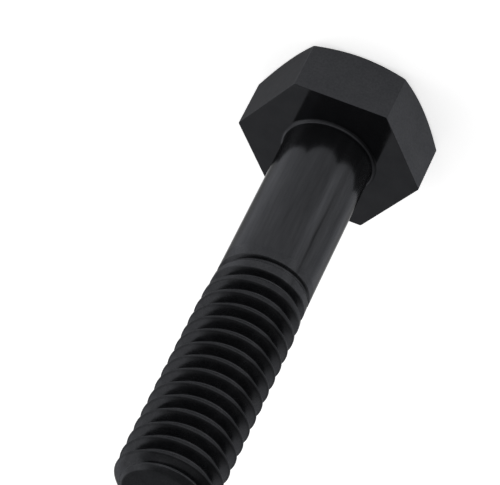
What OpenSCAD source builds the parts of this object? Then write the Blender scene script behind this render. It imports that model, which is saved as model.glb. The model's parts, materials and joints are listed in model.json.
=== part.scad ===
// Hexagon head bolt with a plain shank and a rolled right-hand thread.
// It stands on the top of its head, with its axis on +Z and the tip up.
// The origin is the centre of the head's top face. All sizes are in millimetres.

/* [Head] */
// Width across the flats of the hexagon
across_flats = 9.96; // [9:0.02:13]
// Height of the head, from its top face to its bearing face
head_height = 3.97; // [2.5:0.01:8]
// How far inside the flats the chamfer ends on the top face
head_chamfer_inset = 0.28; // [0.05:0.01:1]
// Angle between the head's chamfer and its top face
head_chamfer_angle = 30; // [15:1:45]

/* [Shank] */
// Diameter of the plain shank, which is thinner than the thread
shank_d = 5.57; // [5:0.01:6.4]
// Length of the plain shank, from the bearing face to the start of the thread
shank_length = 10.95; // [2:0.05:60]
// Radius of the fillet between the bearing face and the shank
fillet_r = 0.25; // [0.1:0.01:0.6]

/* [Thread] */
// Diameter over the crests of the thread
thread_d = 5.87; // [5.4:0.01:6.6]
// Length of the thread, from the end of the plain shank to the end face
thread_length = 16; // [8:0.05:50]
// Distance from one crest to the next along the axis
pitch = 1; // [0.7:0.05:1.25]
// Depth of the full thread, from crest to root
thread_depth = 0.6; // [0.3:0.005:0.6]
// Angle between the two flanks of a groove
flank_angle = 60; // [55:1:60]
// Width of the flat at the bottom of a groove
root_flat = 0.19; // [0.05:0.01:0.2]
// Direction from the axis in which a groove would cross the end of the shank
thread_angle = 38; // [0:1:359]

/* [Run-out] */
// Length over which the first grooves deepen to the full thread
runout_length = 3.4; // [1.5:0.1:6]
// How much nearer to the head the shallow first grooves lie
runout_lean = 0.38; // [0:0.01:0.45]

/* [Tip] */
// Depth and length of the 45 degree chamfer at the tip
tip_chamfer = 0.75; // [0.3:0.01:1]

/* [Hidden] */

round_fn = 96;
fillet_steps = 6;
thread_steps = 40;
row_kinds = 4;
overlap = 0.7;
row_gap = 0.02;
skin_gap = 0.01;
ramp_power = 4;
lean_share = 1.1;

steel = [0.13, 0.13, 0.14];
shank_r = shank_d / 2;
thread_r = thread_d / 2;
root_r = thread_r - thread_depth;
tip_r = thread_r - tip_chamfer;
head_top_r = across_flats / 2 - head_chamfer_inset;
shank_end = head_height + shank_length;
groove_start = shank_end - overlap / 2;
tip_z = shank_end + thread_length;
flank_slope = 1 / tan(flank_angle / 2);
grooves = ceil(thread_length / pitch) + 3;
rows = row_kinds * grooves;

// A smooth rise from 0 to 1, with u limited to that range
function clamped(u) = min(1, max(0, u));
function smooth(u) = let (c = clamped(u)) c * c * (3 - 2 * c);

// The chamfer cone at the tip, the crest line and the root line along the axis
function cone_r(z) = tip_r + tip_z - z;
function crest_at(z) = shank_r - skin_gap
    + (thread_r - shank_r + skin_gap) * smooth((z - shank_end) / runout_length);
function runout_at(z) = pow(1 - clamped((z - groove_start) / runout_length), ramp_power);
function root_at(z) = root_r + (shank_r - skin_gap - root_r) * runout_at(z);

// Height of the middle of groove number n in direction a
function helix_z(n, a) = shank_end + pitch * (n - 2 + (a - thread_angle) / 360);
function lean(z) = runout_lean * pitch * (1 - smooth((z - shank_end) / (lean_share * runout_length)));
function groove_z(n, a) = let (z = helix_z(n, a)) z - lean(z);

// Each groove has four rows of points: the crest edge on its head side, the two
// edges of its root flat, and the crest edge on its tip side. In the chamfer,
// a crest edge moves to where its flank meets the cone.
function edge_before(z, crest, root) =
    let (foot = z - root_flat / 2,
         free = foot - max((crest - root) / flank_slope, row_gap),
         cut = (root - tip_r - tip_z + foot * flank_slope) / (flank_slope - 1),
         h = max(free, min(cut, foot - row_gap)))
    [min(crest, cone_r(h)), h];
function edge_after(z, crest, root) =
    let (foot = z + root_flat / 2,
         free = foot + max((crest - root) / flank_slope, row_gap),
         cut = (tip_r + tip_z - root + foot * flank_slope) / (flank_slope + 1),
         h = min(free, max(cut, foot + row_gap)))
    [min(crest, cone_r(h)), h];
function root_edge(h, root) = [min(root, cone_r(h)), h];
function row_point(k, a) =
    let (z = groove_z(floor(k / row_kinds), a),
         kind = k % row_kinds,
         crest = crest_at(z),
         root = root_at(z))
    kind == 0 ? edge_before(z, crest, root) :
    kind == 1 ? root_edge(z - root_flat / 2, root) :
    kind == 2 ? root_edge(z + root_flat / 2, root) :
    edge_after(z, crest, root);

function polar(rz, a) = [rz[0] * cos(a), rz[0] * sin(a), rz[1]];

module head() {
    intersection() {
        cylinder(h = head_height, d = across_flats / cos(30), $fn = 6);
        cylinder(h = head_height, r1 = head_top_r,
                 r2 = head_top_r + head_height / tan(head_chamfer_angle), $fn = round_fn);
    }
}

module shank() {
    fillet = [for (s = [0 : fillet_steps])
        let (t = 90 * s / fillet_steps)
        [shank_r + fillet_r * (1 - sin(t)), head_height + fillet_r * (1 - cos(t))]];
    rotate_extrude($fn = round_fn)
        polygon(concat([[0, head_height / 2], [shank_r + fillet_r, head_height / 2]],
                       fillet, [[shank_r, groove_start], [0, groove_start]]));
}

// The thread is a skin over columns of row points, one column for each step of
// direction. One turn on, a column meets the first one again, a groove higher.
// Rows outside the thread are left out, and a flat ring closes each end.
module thread() {
    last = thread_steps - 1;
    angles = [for (i = [0 : last]) 360 * i / thread_steps];
    grid = [for (a = angles) [for (k = [0 : rows - 1]) row_point(k, a)]];
    start_z = shank_end - overlap;
    first_row = [for (column = grid)
        min([for (k = [0 : rows - 1]) if (column[k][1] > start_z + row_gap) k])];
    last_row = [for (column = grid)
        max([for (k = [0 : rows - 1]) if (column[k][1] < tip_z - row_gap) k])];
    start_ring = [for (a = angles) polar([shank_r - skin_gap, start_z], a)];
    tip_ring = [for (a = angles) polar([tip_r, tip_z], a)];
    points = concat([for (i = [0 : last]) for (rz = grid[i]) polar(rz, angles[i])],
                    start_ring, tip_ring);
    start_at = thread_steps * rows;
    tip_at = start_at + thread_steps;
    faces = concat(
        [for (i = [0 : last])
            let (seam = i == last,
                 next = seam ? 0 : i + 1,
                 shift = seam ? row_kinds : 0,
                 left = i * rows,
                 right = next * rows + shift,
                 low = first_row[i],
                 low_next = first_row[next] - shift,
                 high = last_row[i],
                 high_next = last_row[next] - shift)
            each concat(
                [[right + low_next, start_at + next, start_at + i]],
                [for (k = [low_next : 1 : low - 1]) [right + k + 1, right + k, start_at + i]],
                [[left + low, right + low, start_at + i]],
                [for (k = [low : high_next - 1]) [right + k + 1, right + k, left + k]],
                [for (k = [low : high_next - 1]) [left + k + 1, right + k + 1, left + k]],
                [[right + high_next, left + high_next, tip_at + next]],
                [for (k = [high_next : 1 : high - 1]) [left + k, left + k + 1, tip_at + next]],
                [[left + high, tip_at + i, tip_at + next]])],
        [[for (i = [0 : last]) start_at + i]],
        [[for (i = [0 : last]) tip_at + last - i]]);
    polyhedron(points = points, faces = faces, convexity = 10);
}

module hex_bolt() {
    color(steel) {
        head();
        shank();
        thread();
    }
}

hex_bolt();
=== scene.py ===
import json
import math

import bmesh
import bpy
import numpy as np
from mathutils import Matrix, Vector


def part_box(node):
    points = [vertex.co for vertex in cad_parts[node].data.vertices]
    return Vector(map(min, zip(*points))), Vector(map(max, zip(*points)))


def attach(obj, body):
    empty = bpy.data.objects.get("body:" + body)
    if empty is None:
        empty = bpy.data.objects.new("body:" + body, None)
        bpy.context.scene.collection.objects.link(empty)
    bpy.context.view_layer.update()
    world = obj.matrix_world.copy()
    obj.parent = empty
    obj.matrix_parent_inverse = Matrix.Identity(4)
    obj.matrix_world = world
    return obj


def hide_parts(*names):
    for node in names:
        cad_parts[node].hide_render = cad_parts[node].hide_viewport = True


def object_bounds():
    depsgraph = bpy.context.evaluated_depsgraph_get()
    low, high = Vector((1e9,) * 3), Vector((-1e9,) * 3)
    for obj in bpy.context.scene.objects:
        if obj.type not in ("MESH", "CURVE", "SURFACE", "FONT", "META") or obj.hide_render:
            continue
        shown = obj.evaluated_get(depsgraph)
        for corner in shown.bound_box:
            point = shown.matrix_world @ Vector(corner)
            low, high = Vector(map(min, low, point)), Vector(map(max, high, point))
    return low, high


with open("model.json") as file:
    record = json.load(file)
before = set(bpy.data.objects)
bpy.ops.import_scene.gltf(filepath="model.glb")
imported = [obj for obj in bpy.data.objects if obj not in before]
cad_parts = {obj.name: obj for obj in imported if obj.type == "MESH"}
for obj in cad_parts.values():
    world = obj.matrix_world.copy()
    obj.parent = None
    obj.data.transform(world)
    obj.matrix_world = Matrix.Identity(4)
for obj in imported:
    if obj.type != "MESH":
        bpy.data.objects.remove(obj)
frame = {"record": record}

cad_low, cad_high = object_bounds()

# The frame is in metres. The sizes below are in millimetres and the angles in degrees, as on a
# drawing. A direction is counted round the bolt's axis, from +X towards +Y.
MM = 0.001
NODE = "hex_bolt"
mounts = {mount["name"]: mount for mount in frame["record"]["mounts"]}
node_low, node_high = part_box(NODE)

# Head: its flats are on the Y axis, its corners on the X axis. The chamfer at its top ends
# CHAMFER_INSET inside the flats.
ACROSS_FLATS = (node_high.y - node_low.y) / MM
HEAD_HEIGHT = mounts["bearing_face"]["pos_m"][2] / MM
CHAMFER_INSET = 0.28
CHAMFER_ANGLE = 30
CORNER_ROUND = 0.16
EDGE_ROUND = 0.025

# Plain shank and the fillet under the head
SHANK_R = mounts["shank"]["dims"]["r_mm"]
SHANK_LENGTH = 10.95
FILLET_R = 0.25

# Thread: radius over its crests, depth, the angle between a groove's flanks, the flat at its
# root, and the direction in which a groove would cross the end of the shank
TIP_Z = node_high.z / MM
THREAD_R = 2.935
PITCH = 1.0
THREAD_DEPTH = 0.6
FLANK_ANGLE = 60
ROOT_FLAT = 0.19
THREAD_ANGLE = 38
CREST_ROUND = 0.04
ROOT_ROUND = 0.06

# Run-out: the first grooves deepen over a length that starts RUNOUT_START before the end of the
# shank. They also lie nearer to the head, which fades out over LEAN_SHARE times that length.
# Where a groove is shallow its roundings shrink, down to a share of LEAST_ROUND.
RUNOUT_START = 0.35
RUNOUT_LENGTH = 3.4
RUNOUT_POWER = 4
RUNOUT_LEAN = 0.38
LEAN_SHARE = 1.1
LEAST_ROUND = 0.02

# Tip: a chamfer that bulges halfway up, and a last groove that narrows from its tip side. The
# narrowing begins NARROW_FROM below the end face and is complete NARROW_OVER further up.
TIP_CHAMFER = 0.75
TIP_BULGE = 0.06
TIP_ROUND = 0.03
CONE_ROUND = 0.05
TIP_NARROWING = 0.16
NARROW_FROM = 1.25
NARROW_OVER = 0.9

# How finely the surface is divided. Rows and columns beside an edge stand EDGE_GUARD from it.
# The shares are of the way out from the axis, and of the way up the head's chamfer.
COLUMNS_A_CORNER = 6
COLUMNS_A_FLAT = 14
ROWS_A_PITCH = 32
ROWS_A_FLAT = 6
ROWS_A_RIM = 6
ROWS_A_FACE = 5
ROWS_A_FILLET = 9
ROWS_A_SHANK = 9
ROWS_A_TOP_EDGE = 3
ROWS_A_SIDE_EDGE = 5
ROWS_A_TIP_EDGE = 4
HEAD_TOP_SHARES = (0, 0.5, 0.985)
TOP_EDGE_SHARE = 0.2
CHAMFER_SHARES = (0.5, 0.9)
END_FACE_SHARES = (0.93, 0.6, 0)
EDGE_GUARD = 0.05
WELD = 1e-5

HEAD_TOP_R = ACROSS_FLATS / 2 - CHAMFER_INSET
SHANK_END = HEAD_HEIGHT + SHANK_LENGTH
THREAD_START = SHANK_END - 2 * RUNOUT_START
ROOT_R = THREAD_R - THREAD_DEPTH
TIP_R = THREAD_R - TIP_CHAMFER
COLUMNS = 6 * (COLUMNS_A_CORNER + COLUMNS_A_FLAT)

# Camera: where it stands, the point in the middle of its picture, its roll, its lens and sensor
# in millimetres, and the nearest and furthest that it sees in metres
CAMERA_PLACE = (-21.7465, -134.9038, 120.9299)
CAMERA_AIM = (1.7854, -0.3131, 12.4821)
CAMERA_ROLL = 153.13
CAMERA_LENS = 218.207
CAMERA_SENSOR = 36
CAMERA_REACH = (0.01, 10)


def make_camera():
    """Looks from its place to its aim, rolled clockwise about that line."""
    place = Vector(CAMERA_PLACE) * MM
    aim = Vector(CAMERA_AIM) * MM
    data = bpy.data.cameras.new("camera")
    data.sensor_width = CAMERA_SENSOR
    data.lens = CAMERA_LENS
    data.clip_start, data.clip_end = CAMERA_REACH
    camera = bpy.data.objects.new("camera", data)
    bpy.context.scene.collection.objects.link(camera)
    turn = (aim - place).to_track_quat("-Z", "Y").to_matrix().to_4x4()
    roll = Matrix.Rotation(math.radians(-CAMERA_ROLL), 4, "Z")
    camera.matrix_world = Matrix.Translation(place) @ turn @ roll
    bpy.context.scene.camera = camera


def smooth(u):
    """A smooth rise from 0 to 1 while u goes from 0 to 1."""
    c = np.clip(u, 0, 1)
    return c * c * (3 - 2 * c)


def lower_of(a, b, width):
    """The lower of a and b, with the crease between them rounded over the width."""
    h = np.clip(0.5 + 0.5 * (b - a) / width, 0, 1)
    return b + (a - b) * h - width * h * (1 - h)


def higher_of(a, b, width):
    """The higher of a and b, with the crease between them rounded over the width."""
    return -lower_of(-a, -b, width)


def ring(radius, z, angles):
    """A row of points round the axis, one for each angle, each at its own radius and height."""
    radius, z = np.broadcast_arrays(radius, z)
    full = np.ones_like(angles)
    return np.stack([radius * np.cos(angles), radius * np.sin(angles), z * full], axis=-1)


def rounded_edge(first, corner, last, steps):
    """Rows of a parabola from the first row to the last, drawn towards the corner row."""
    t = np.linspace(0, 1, steps)[:, None, None]
    return list((1 - t) ** 2 * first + 2 * t * (1 - t) * corner + t**2 * last)


def between(first, last, shares):
    """Rows that lie at the given shares of the straight way from the first row to the last."""
    return [first + (last - first) * share for share in shares]


def hexagon(inset):
    """The head's outline, moved inwards by the inset. A core hexagon lies CORNER_ROUND inside
    the head. At each of its corners the outline is an arc of the corner's radius, less the inset,
    and from there it keeps that distance from the core's side. Columns stand close together on
    the arcs and evenly along the flats."""
    core = (ACROSS_FLATS / 2 - CORNER_ROUND) / math.cos(math.pi / 6)
    facing = np.radians(np.linspace(-30, 30, COLUMNS_A_CORNER))
    near = EDGE_GUARD / core
    along = np.linspace(near, 1 - near, COLUMNS_A_FLAT)
    facing = np.concatenate([facing, np.full(COLUMNS_A_FLAT, math.radians(30))])
    along = np.concatenate([np.zeros(COLUMNS_A_CORNER), along])
    corner = np.radians(60) * np.arange(6)[:, None]
    ahead = corner + np.radians(60)
    x = core * ((1 - along) * np.cos(corner) + along * np.cos(ahead))
    y = core * ((1 - along) * np.sin(corner) + along * np.sin(ahead))
    radius = CORNER_ROUND - inset
    x = x + radius * np.cos(corner + facing)
    y = y + radius * np.sin(corner + facing)
    return x.ravel(), y.ravel()


def outline(inset, z):
    """The head's outline as a row of points at a height, or at a height for each point."""
    x, y = hexagon(inset)
    return np.stack([x, y, np.broadcast_to(z, x.shape)], axis=-1)


def chamfer_edge(inset):
    """The head's outline on the chamfer. The chamfer is a cone, so a point's height is its
    distance outside the top face's circle times the cone's slope."""
    x, y = hexagon(inset)
    slope = math.tan(math.radians(CHAMFER_ANGLE))
    return outline(inset, (np.hypot(x, y) - HEAD_TOP_R) * slope)


def head_rows():
    """Rows from the middle of the head's top face over the chamfer and the flats to the rim of
    the bearing face. Each edge between them is a small parabola or quarter arc."""
    x, y = hexagon(0)
    angles = np.arctan2(y, x)
    top = ring(HEAD_TOP_R, 0, angles)
    top_in = ring(HEAD_TOP_R - EDGE_ROUND, 0, angles)
    chamfer_end = chamfer_edge(EDGE_ROUND)
    top_out = top + (chamfer_end - top) * TOP_EDGE_SHARE
    rows = [top_in * share for share in HEAD_TOP_SHARES]
    rows += rounded_edge(top_in, top, top_out, ROWS_A_TOP_EDGE)
    rows += between(top, chamfer_end, CHAMFER_SHARES)
    edge = chamfer_edge(0)
    side = edge + (0, 0, EDGE_ROUND)
    rows += rounded_edge(chamfer_end, edge, side, ROWS_A_SIDE_EDGE)
    low = side + (0, 0, EDGE_GUARD)
    high = outline(0, HEAD_HEIGHT - EDGE_ROUND - EDGE_GUARD)
    rows += between(low, high, np.linspace(0, 1, ROWS_A_FLAT))
    for turn in np.radians(np.linspace(0, 90, ROWS_A_RIM)):
        inset = EDGE_ROUND * (1 - math.cos(turn))
        rows.append(outline(inset, HEAD_HEIGHT - EDGE_ROUND * (1 - math.sin(turn))))
    return rows


def face_rows(angles):
    """Rows across the flat bearing face, from the hexagon's rim to the circle of the fillet."""
    rim = outline(EDGE_ROUND + EDGE_GUARD, HEAD_HEIGHT)
    foot = ring(SHANK_R + FILLET_R + EDGE_GUARD / 2, HEAD_HEIGHT, angles)
    return [outline(EDGE_ROUND, HEAD_HEIGHT)] + between(rim, foot, np.linspace(0, 1, ROWS_A_FACE))


def shank_rows(angles):
    """Rows up the fillet's quarter arc and along the plain shank to the start of the thread."""
    rows = []
    for turn in np.radians(np.linspace(0, 90, ROWS_A_FILLET)):
        radius = SHANK_R + FILLET_R * (1 - math.sin(turn))
        rows.append(ring(radius, HEAD_HEIGHT + FILLET_R * (1 - math.cos(turn)), angles))
    start = HEAD_HEIGHT + FILLET_R + EDGE_GUARD / 2
    rows += [ring(SHANK_R, z, angles) for z in np.linspace(start, THREAD_START, ROWS_A_SHANK)]
    return rows


def lean(z):
    """How much nearer to the head a shallow groove lies."""
    return RUNOUT_LEAN * PITCH * (1 - smooth((z - SHANK_END) / (LEAN_SHARE * RUNOUT_LENGTH)))


def groove_z(turns, angles):
    """Height of the helix at a number of turns, a fraction allowed, in each direction."""
    z = SHANK_END + PITCH * (turns - 2 + (np.degrees(angles) - THREAD_ANGLE) / 360)
    return z - lean(z)


def chamfer_radius(z):
    """Radius of the chamfer at the tip, a 45 degree cone that bulges halfway up."""
    share = np.clip((TIP_Z - z) / TIP_CHAMFER, 0, 1)
    return TIP_R + TIP_Z - z + TIP_BULGE * 4 * share * (1 - share)


def thread_rows(angles):
    """Rows that follow the helix. A row's radius is the groove's trapezium: its flanks rise from
    the root flat to the crest, both creases are rounded, the root comes up towards the shank,
    the last groove narrows from its tip side, and the chamfer cuts it all at the tip. Rows
    beyond either end lie on that end."""
    turns_in_all = math.ceil((TIP_Z - SHANK_END) / PITCH + 2 + THREAD_ANGLE / 360)
    turns = np.arange(turns_in_all * ROWS_A_PITCH)[:, None] / ROWS_A_PITCH
    z = groove_z(turns, angles)
    middle = groove_z(np.round(turns), angles)
    crest = SHANK_R + (THREAD_R - SHANK_R) * smooth((z - SHANK_END) / RUNOUT_LENGTH)
    fade = 1 - np.clip((middle - SHANK_END + RUNOUT_START) / RUNOUT_LENGTH, 0, 1)
    root = ROOT_R + (SHANK_R - ROOT_R) * fade**RUNOUT_POWER
    slope = 1 / math.tan(math.radians(FLANK_ANGLE / 2))
    narrowing = TIP_NARROWING * np.clip((middle - TIP_Z + NARROW_FROM) / NARROW_OVER, 0, 1)
    aside = np.maximum(middle - z, z - middle + narrowing)
    flank = root + (aside - ROOT_FLAT / 2) * slope
    depth = np.clip((crest - root) / THREAD_DEPTH, LEAST_ROUND, 1)
    radius = higher_of(flank, root, ROOT_ROUND * depth)
    radius = lower_of(radius, crest, CREST_ROUND * depth)
    top = TIP_Z - TIP_ROUND
    z = np.clip(z, THREAD_START, top)
    radius = np.where(z <= THREAD_START, SHANK_R, radius)
    radius = lower_of(radius, chamfer_radius(z), CONE_ROUND)
    radius = np.where(z >= top, chamfer_radius(top), radius)
    return ring(radius, z, angles)


def tip_rows(angles):
    """Rows over the tip's rounded edge and across the flat end face to its middle."""
    first = ring(chamfer_radius(TIP_Z - TIP_ROUND), TIP_Z - TIP_ROUND, angles)
    corner = ring(TIP_R, TIP_Z, angles)
    last = ring(TIP_R - TIP_ROUND, TIP_Z, angles)
    rows = rounded_edge(first, corner, last, ROWS_A_TIP_EDGE)
    return rows + [ring(TIP_R * share, TIP_Z, angles) for share in END_FACE_SHARES]


def grid_faces(rows, columns, shift):
    """Quads between neighbouring rows and columns. At the seam the last column meets the first
    one a number of rows further on, which is the shift."""
    i, j = np.meshgrid(np.arange(rows - 1), np.arange(columns), indexing="ij")
    across = (j + 1) % columns
    step = np.where(j == columns - 1, shift, 0)
    keep = i + 1 + step < rows
    here = i * columns + j
    there = (i + step) * columns + across
    quads = np.stack([here, there, there + columns, here + columns], axis=-1)
    return quads[keep]


def mesh_piece(name, parts, materials):
    """One closed mesh from several grids. Points that coincide are welded, which also turns the
    empty quads at the poles and the ends of the helix into triangles or nothing."""
    mesh = bpy.data.meshes.new(name)
    points, faces, slots, start = [], [], [], 0
    for slot, rows, shift in parts:
        grid = np.asarray(rows)
        points.append(grid.reshape(-1, 3))
        quads = grid_faces(grid.shape[0], grid.shape[1], shift) + start
        faces.append(quads)
        slots.append(np.full(len(quads), slot))
        start += grid.shape[0] * grid.shape[1]
    mesh.from_pydata(np.concatenate(points) * MM, [], np.concatenate(faces).tolist())
    mesh.polygons.foreach_set("material_index", np.concatenate(slots).astype(np.int32))
    for material in materials:
        mesh.materials.append(material)
    work = bmesh.new()
    work.from_mesh(mesh)
    bmesh.ops.remove_doubles(work, verts=work.verts, dist=WELD * MM)
    bmesh.ops.recalc_face_normals(work, faces=work.faces)
    work.to_mesh(mesh)
    work.free()
    mesh.polygons.foreach_set("use_smooth", np.ones(len(mesh.polygons), bool))
    mesh.update()
    piece = bpy.data.objects.new(name, mesh)
    bpy.context.scene.collection.objects.link(piece)
    return piece


def make_bolt(coats):
    """The whole bolt is one skin: head, bearing face, shank, thread and tip, each part starting
    at the row where the one before it ends. coats has a material for each part by name."""
    angles = 2 * np.pi * (np.arange(COLUMNS) - (COLUMNS_A_CORNER - 1) / 2) / COLUMNS
    shank = shank_rows(angles)
    names = list(coats)
    parts = [
        (names.index("head"), head_rows(), 0),
        (names.index("face"), face_rows(angles) + shank[:1], 0),
        (names.index("shank"), shank, 0),
        (names.index("thread"), thread_rows(angles), ROWS_A_PITCH),
        (names.index("thread"), tip_rows(angles), 0),
    ]
    bolt = mesh_piece("bolt", parts, coats.values())
    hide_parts(NODE)
    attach(bolt, "root")
    return bolt


NUMBER = "NodeSocketFloat"
VECTOR = "NodeSocketVector"


def put(tree, value, socket):
    """Links an output to the socket, or writes a plain value into it."""
    if isinstance(value, bpy.types.NodeSocket):
        tree.links.new(value, socket)
    else:
        socket.default_value = value


def calc(tree, operation, *values):
    """A Math node on numbers or sockets."""
    node = tree.nodes.new("ShaderNodeMath")
    node.operation = operation
    for value, socket in zip(values, node.inputs):
        put(tree, value, socket)
    return node.outputs["Value"]


def calc_vector(tree, operation, *vectors, scale=None):
    """A Vector Math node on vectors, with a factor where it scales them. Returns its outputs."""
    node = tree.nodes.new("ShaderNodeVectorMath")
    node.operation = operation
    for vector, socket in zip(vectors, node.inputs):
        put(tree, vector, socket)
    if scale is not None:
        put(tree, scale, node.inputs["Scale"])
    return node.outputs


def spread(tree, value, low, high, to_low=0, to_high=1, kind="LINEAR"):
    """Maps value from low..high to to_low..to_high, and holds it at the ends."""
    node = tree.nodes.new("ShaderNodeMapRange")
    node.interpolation_type = kind
    names = ("Value", "From Min", "From Max", "To Min", "To Max")
    for name, given in zip(names, (value, low, high, to_low, to_high)):
        put(tree, given, node.inputs[name])
    return node.outputs["Result"]


def new_group(name, inputs, outputs):
    """A node group whose inputs and outputs are given as names with their kinds. Returns the
    group, the sockets that its inputs come from and the sockets that its outputs go to."""
    group = bpy.data.node_groups.new(name, "ShaderNodeTree")
    for way, sockets in (("INPUT", inputs), ("OUTPUT", outputs)):
        for label, kind in sockets.items():
            group.interface.new_socket(label, in_out=way, socket_type=kind)
    given = group.nodes.new("NodeGroupInput").outputs
    wanted = group.nodes.new("NodeGroupOutput").inputs
    return group, given, wanted


# Noise of the coat: detail of grain and patches, their roughness, and the part of each noise
# that is used
GRAIN_DETAIL = 3
PATCH_DETAIL = 4
NOISE_ROUGHNESS = 0.55
GRAIN_RANGE = (0.3, 0.7)
PATCH_RANGE = (0.35, 0.65)


def grain_group():
    """Fine grain of the coat. In: place in millimetres, grains and patches a millimetre, and
    their stretch along the axis. Out: a height from 0 to 1 and a slower patch mask."""
    group, given, wanted = new_group(
        "coat_grain",
        {"Place": VECTOR, "Grains a mm": NUMBER, "Patches a mm": NUMBER, "Along": NUMBER},
        {"Height": NUMBER, "Patch": NUMBER},
    )
    stretch = group.nodes.new("ShaderNodeCombineXYZ")
    for value, socket in zip((1, 1, given["Along"]), stretch.inputs):
        put(group, value, socket)
    place = calc_vector(group, "MULTIPLY", given["Place"], stretch.outputs["Vector"])["Vector"]
    for output, scale, detail in (
        ("Height", "Grains a mm", GRAIN_DETAIL),
        ("Patch", "Patches a mm", PATCH_DETAIL),
    ):
        noise = group.nodes.new("ShaderNodeTexNoise")
        noise.inputs["Detail"].default_value = detail
        noise.inputs["Roughness"].default_value = NOISE_ROUGHNESS
        put(group, place, noise.inputs["Vector"])
        put(group, given[scale], noise.inputs["Scale"])
        put(group, noise.outputs["Fac"], wanted[output])
    return group


def place_group():
    """Object coordinates in millimetres, and the distance from the bolt's axis."""
    group, given, wanted = new_group(
        "place_in_mm", {"Object": VECTOR}, {"Place": VECTOR, "Radius": NUMBER}
    )
    place = calc_vector(group, "SCALE", given["Object"], scale=1 / MM)["Vector"]
    level = calc_vector(group, "MULTIPLY", place, (1, 1, 0))["Vector"]
    put(group, place, wanted["Place"])
    put(group, calc_vector(group, "LENGTH", level)["Value"], wanted["Radius"])
    return group


def slant_group():
    """Where the coat is seen at a slant but not edge on. In: the share that a Layer Weight node
    calls facing, 0 square on and 1 edge on. Out: a mask, the product of a rise and a fall."""
    group, given, wanted = new_group("slant_mask", {"Facing": NUMBER}, {"Share": NUMBER})
    rise = spread(group, given["Facing"], *SLANT_RISE)
    fall = spread(group, given["Facing"], *SLANT_FALL)
    put(group, calc(group, "MULTIPLY", rise, fall), wanted["Share"])
    return group


def streak_group():
    """A streak along the bolt's axis, a little unsteady and faint at its ends, where a painted
    highlight or painted shade lies. In: place in millimetres, direction and half width in degrees,
    height of the middle and half length in millimetres. Out: a mask, 1 in the streak's middle,
    which falls smoothly to 0 at the half width to either side and at the half length up and down."""
    group, given, wanted = new_group(
        "painted_light_streak",
        {
            "Place": VECTOR, "Direction": NUMBER, "Half width": NUMBER,
            "Middle": NUMBER, "Half length": NUMBER,
        },
        {"Mask": NUMBER},
    )

    def step(operation, *values):
        return calc(group, operation, *values)

    def fade(distance, reach):
        return spread(group, step("ABSOLUTE", distance), 0, reach, 1, 0, "SMOOTHSTEP")

    parts = group.nodes.new("ShaderNodeSeparateXYZ")
    put(group, given["Place"], parts.inputs["Vector"])
    x, y, z = parts.outputs
    wave = group.nodes.new("ShaderNodeTexNoise")
    wave.noise_dimensions = "1D"
    wave.inputs["Scale"].default_value = STREAK_WAVES
    put(group, z, wave.inputs["W"])
    sway = step("MULTIPLY", step("SUBTRACT", wave.outputs["Fac"], 0.5), STREAK_SWAY)
    angle = step("DEGREES", step("ARCTAN2", y, x))
    apart = step("SUBTRACT", step("ADD", angle, sway), given["Direction"])
    across = fade(step("WRAP", apart, 180, -180), given["Half width"])
    along = fade(step("SUBTRACT", z, given["Middle"]), given["Half length"])
    put(group, step("MULTIPLY", across, along), wanted["Mask"])
    return group


class Coat:
    """A black coat material. It knows the place on the bolt in millimetres and the distance from
    the axis, and its methods add one step each."""

    def __init__(self, name, groups):
        self.material = bpy.data.materials.new(name)
        self.material.use_nodes = True
        self.tree = self.material.node_tree
        self.shader = self.tree.nodes["Principled BSDF"]
        self.groups = groups
        where = self.tree.nodes.new("ShaderNodeTexCoord")
        found = self.group("place", {"Object": where.outputs["Object"]})
        self.place = found["Place"]
        self.radius = found["Radius"]

    def set(self, name, value):
        """Gives the shader's socket of that name a plain value or a link."""
        put(self.tree, value, self.shader.inputs[name])

    def group(self, kind, values):
        """Places a shared group with its own values. Returns its outputs."""
        node = self.tree.nodes.new("ShaderNodeGroup")
        node.node_tree = self.groups[kind]
        for name, value in values.items():
            put(self.tree, value, node.inputs[name])
        return node.outputs

    def spread(self, value, *ends):
        """Maps value from the first two ends to the last two, or to 0..1."""
        return spread(self.tree, value, *ends)

    def blend(self, share, dark, light):
        """Mixes two colours. The Mix node's colour sockets share their names with others, so
        they are told by their numbers."""
        node = self.tree.nodes.new("ShaderNodeMix")
        node.data_type = "RGBA"
        for number, value in ((0, share), (6, dark), (7, light)):
            put(self.tree, value, node.inputs[number])
        return node.outputs[2]

    def scale_tone(self, factor):
        """Multiplies the coat's colour so far by a factor."""
        so_far = self.shader.inputs["Base Color"].links[0].from_socket
        self.set("Base Color", calc_vector(self.tree, "SCALE", so_far, scale=factor)["Vector"])

    def streak(self, direction, half_width, middle, half_length):
        """The mask of a lengthwise streak of painted highlight or painted shade."""
        values = {
            "Place": self.place, "Direction": direction, "Half width": half_width,
            "Middle": middle, "Half length": half_length,
        }
        return self.group("streak", values)["Mask"]

    def bump(self, height, depth, normal=None):
        """A bump as deep as depth, in millimetres, over the normal that comes before it."""
        node = self.tree.nodes.new("ShaderNodeBump")
        node.inputs["Distance"].default_value = depth * MM
        put(self.tree, height, node.inputs["Height"])
        if normal is not None:
            put(self.tree, normal, node.inputs["Normal"])
        return node.outputs["Normal"]


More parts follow.
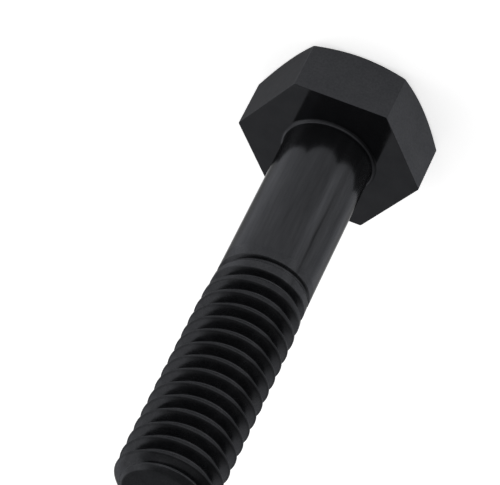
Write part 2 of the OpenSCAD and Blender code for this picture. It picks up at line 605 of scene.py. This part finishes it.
# The coat of each part: its tone, the tone's factor at a slant, how light it gets edge on, how
# metallic it is, its roughness from the smoothest patch to the dullest, grains and patches a
# millimetre, their stretch along the axis, how much a grain's tone differs, and the depths of
# grains and patches in millimetres
COATS = {
    "head": {
        "tone": 1.16, "slant": 1.69, "edge": 0.48, "metal": 0.9, "roughness": (0.38, 0.46),
        "grains": 7.0, "patches": 0.8, "along": 1.0, "mottle": 0.12, "depths": (0.0010, 0.0020),
    },
    "face": {
        "tone": 1.06, "slant": 1.5, "edge": 0.56, "metal": 0.85, "roughness": (0.07, 0.12),
        "grains": 7.0, "patches": 0.8, "along": 1.0, "mottle": 0.05, "depths": (0.0002, 0.0005),
    },
    "shank": {
        "tone": 1.0, "slant": 2.0, "edge": 0.50, "metal": 0.85, "roughness": (0.14, 0.20),
        "grains": 6.0, "patches": 1.6, "along": 0.08, "mottle": 0.12, "depths": (0.0004, 0.0010),
    },
    "thread": {
        "tone": 1.0, "slant": 2.0, "edge": 0.46, "metal": 0.9, "roughness": (0.20, 0.28),
        "grains": 9.0, "patches": 1.5, "along": 1.0, "mottle": 0.15, "depths": (0.0005, 0.0010),
    },
}

# The coat's colour in its darkest and lightest patches
COAT_DARK = (0.0300, 0.0308, 0.0335, 1)
COAT_LIGHT = (0.0345, 0.0352, 0.0380, 1)

# Where a coat counts as seen at a slant, on a scale from 0, square on, to 1, edge on. The rise
# and the fall are 0 at their first number and 1 at their second. Over EDGE_FALL the light that
# a coat mirrors edge on drops to EDGE_SHARE of itself.
SLANT_RISE = (0.35, 0.58)
SLANT_FALL = (0.82, 0.66)
EDGE_FALL = (0.72, 0.84)
EDGE_SHARE = 0.68

# The thread's crests and the end face are told by their distance from the axis. Their tones
# are painted shade that dims the light they mirror. The crests are dimmer still, by more painted
# shade, along one streak, given as those below.
CREST_ZONE = (THREAD_R - 0.12, THREAD_R - 0.06)
CREST_PAINTED_SHADE = 0.72
PAINTED_CREST_SHADE_STREAK = (226, 20, 23, 14, 0.74)
END_ZONE = (TIP_R - 0.08, TIP_R)
END_PAINTED_SHADE = 0.62

# Painted reflections in lengthwise streaks of the shank and the thread, and in short wide ones on
# the fillet and the tip's chamfer: a factor above 1 is a painted highlight, one below 1 painted
# shade. Direction and half width in degrees, height of the middle and half length in
# millimetres, and the tone's factor
PAINTED_LIGHT_STREAKS = (
    (240.5, 9.5, 9.8, 8.5, 1.6),
    (231.6, 3, 12, 5, 0.5),
    (257, 16, 9, 6, 0.86),
    (274, 4, 11, 5, 0.93),
    (312, 24, 10, 9, 1.2),
    (211, 12, 10, 8, 0.7),
    (336, 16, 10, 9, 0.5),
    (193, 11, 10, 9, 1.4),
    (288, 18, 10, 9, 1.2),
    (213, 18, 23, 14, 0.82),
    (302, 17, 23, 14, 1.2),
    (240, 9, 24, 12, 1.2),
    (275, 18, 30.55, 0.37, 1.6),
    (215, 90, 4.1, 0.4, 0.3),
)

# How far a streak sways from side to side in degrees, and its waves a millimetre
STREAK_SWAY = 2.5
STREAK_WAVES = 0.3


def coat(
    name, groups, tone, slant, edge, metal, roughness, grains, patches, along, mottle, depths
):
    """A black metal coat: its tone and gloss vary by patches, and a fine grain lies on it."""
    made = Coat(name, groups)
    noise = made.group(
        "grain",
        {"Place": made.place, "Grains a mm": grains, "Patches a mm": patches, "Along": along},
    )
    patch = made.spread(noise["Patch"], *PATCH_RANGE)
    facing = made.tree.nodes.new("ShaderNodeLayerWeight").outputs["Facing"]
    slanted = made.group("slant", {"Facing": facing})["Share"]
    made.set("Metallic", metal)
    made.set("Specular IOR Level", 0)
    made.set("Roughness", made.spread(patch, 0, 1, *roughness))
    made.set("Specular Tint", made.spread(facing, *EDGE_FALL, edge, edge * EDGE_SHARE))
    made.set("Base Color", made.blend(patch, COAT_DARK, COAT_LIGHT))
    made.scale_tone(made.spread(slanted, 0, 1, tone, tone * slant))
    made.scale_tone(made.spread(noise["Height"], *GRAIN_RANGE, 1 - mottle, 1 + mottle))
    fine_depth, broad_depth = depths
    broad = made.bump(noise["Patch"], broad_depth)
    made.set("Normal", made.bump(noise["Height"], fine_depth, broad))
    return made


def make_coats():
    """The coat of each part, with the painted highlights and shade of shank and thread."""
    groups = {
        "grain": grain_group(),
        "place": place_group(),
        "slant": slant_group(),
        "streak": streak_group(),
    }
    coats = {part: coat("black_coat_" + part, groups, **COATS[part]) for part in COATS}
    shank, thread = coats["shank"], coats["thread"]
    # Painted highlights and painted shade along lengthwise streaks, on shank and thread alike
    for made in (shank, thread):
        for *where, factor in PAINTED_LIGHT_STREAKS:
            made.scale_tone(made.spread(made.streak(*where), 0, 1, 1, factor))
    # Painted shade on the crests, which dims the light they mirror
    thread.scale_tone(thread.spread(thread.radius, *CREST_ZONE, 1, CREST_PAINTED_SHADE))
    # More painted shade on the crests along one streak
    *where, factor = PAINTED_CREST_SHADE_STREAK
    painted_crest_shade = thread.spread(thread.radius, *CREST_ZONE, 1, factor)
    thread.scale_tone(thread.spread(thread.streak(*where), 0, 1, 1, painted_crest_shade))
    # Painted shade on the end face
    thread.scale_tone(thread.spread(thread.radius, *END_ZONE, END_PAINTED_SHADE, 1))
    return {name: made.material for name, made in coats.items()}


FLOOR_SIZE = 3.0
FLOOR_GAP = 0.00002
FLOOR_COLOUR = (0.90, 0.90, 0.90, 1)
FLOOR_GLOW = 0.58

# The tent's own level, and its darker stretches: the azimuth and elevation of the middle, the
# angles from the middle at which a stretch begins and at which it is complete, and its level
TENT_LEVEL = 1.25
CEILING = {"azimuth": 160, "elevation": 82.5, "outside": 44, "inside": 37, "level": 0.31}
BACK_WALL = {"azimuth": 80, "elevation": 34, "outside": 34, "inside": 16, "level": 0.65}
RIGHT_WALL = {"azimuth": 128, "elevation": 32, "outside": 60, "inside": 25, "level": 0.68}
RIGHT_SIDE = {"azimuth": 140, "elevation": 46, "outside": 19, "inside": 3, "level": 0.33}
FRONT_WALL = {"azimuth": 305, "elevation": 42, "outside": 45, "inside": 15, "level": 0.55}
FRONT_SIDE = {"azimuth": 208, "elevation": 52, "outside": 35, "inside": 8, "level": 0.55}


def make_floor():
    """A pale floor, its size and its gap under the bolt in metres. The camera and mirrors see it
    a little lighter, so that it is white where it is lit, and the bolt's soft shadow stays."""
    half = FLOOR_SIZE / 2
    z = cad_low.z - FLOOR_GAP
    mesh = bpy.data.meshes.new("floor")
    corners = [(-half, -half, z), (half, -half, z), (half, half, z), (-half, half, z)]
    mesh.from_pydata(corners, [], [(0, 1, 2, 3)])
    floor = bpy.data.objects.new("floor", mesh)
    bpy.context.scene.collection.objects.link(floor)
    material = bpy.data.materials.new("pale_floor")
    material.use_nodes = True
    tree = material.node_tree
    shader = tree.nodes["Principled BSDF"]
    shader.inputs["Base Color"].default_value = FLOOR_COLOUR
    shader.inputs["Roughness"].default_value = 1
    shader.inputs["Specular IOR Level"].default_value = 0
    path = tree.nodes.new("ShaderNodeLightPath").outputs
    seen = calc(tree, "ADD", path["Is Camera Ray"], path["Is Glossy Ray"])
    seen = calc(tree, "ADD", seen, path["Is Transmission Ray"])
    shader.inputs["Emission Color"].default_value = (1, 1, 1, 1)
    put(tree, calc(tree, "MULTIPLY", seen, FLOOR_GLOW), shader.inputs["Emission Strength"])
    mesh.materials.append(material)


def make_light():
    """A light tent with pale walls, a dark ceiling and greyer stretches on its walls. A stretch
    is told by the angle between a ray and its middle. Where two overlap, their levels multiply."""
    world = bpy.data.worlds.new("light_tent")
    world.use_nodes = True
    bpy.context.scene.world = world
    tree = world.node_tree
    ray = tree.nodes.new("ShaderNodeTexCoord").outputs["Generated"]

    def stretch(azimuth, elevation, outside, inside, level):
        across, up = math.radians(azimuth), math.radians(elevation)
        middle = (math.cos(up) * math.cos(across), math.cos(up) * math.sin(across), math.sin(up))
        cosine = calc_vector(tree, "DOT_PRODUCT", ray, middle)["Value"]
        start, end = math.cos(math.radians(outside)), math.cos(math.radians(inside))
        return spread(tree, cosine, start, end, 1, level, "SMOOTHSTEP")

    strength = TENT_LEVEL
    for part in (CEILING, BACK_WALL, RIGHT_WALL, RIGHT_SIDE, FRONT_WALL, FRONT_SIDE):
        strength = calc(tree, "MULTIPLY", stretch(**part), strength)
    background = tree.nodes["Background"]
    background.inputs["Color"].default_value = (1, 1, 1, 1)
    put(tree, strength, background.inputs["Strength"])


make_camera()
make_bolt(make_coats())
make_floor()
make_light()
bpy.context.scene.view_settings.view_transform = "Standard"
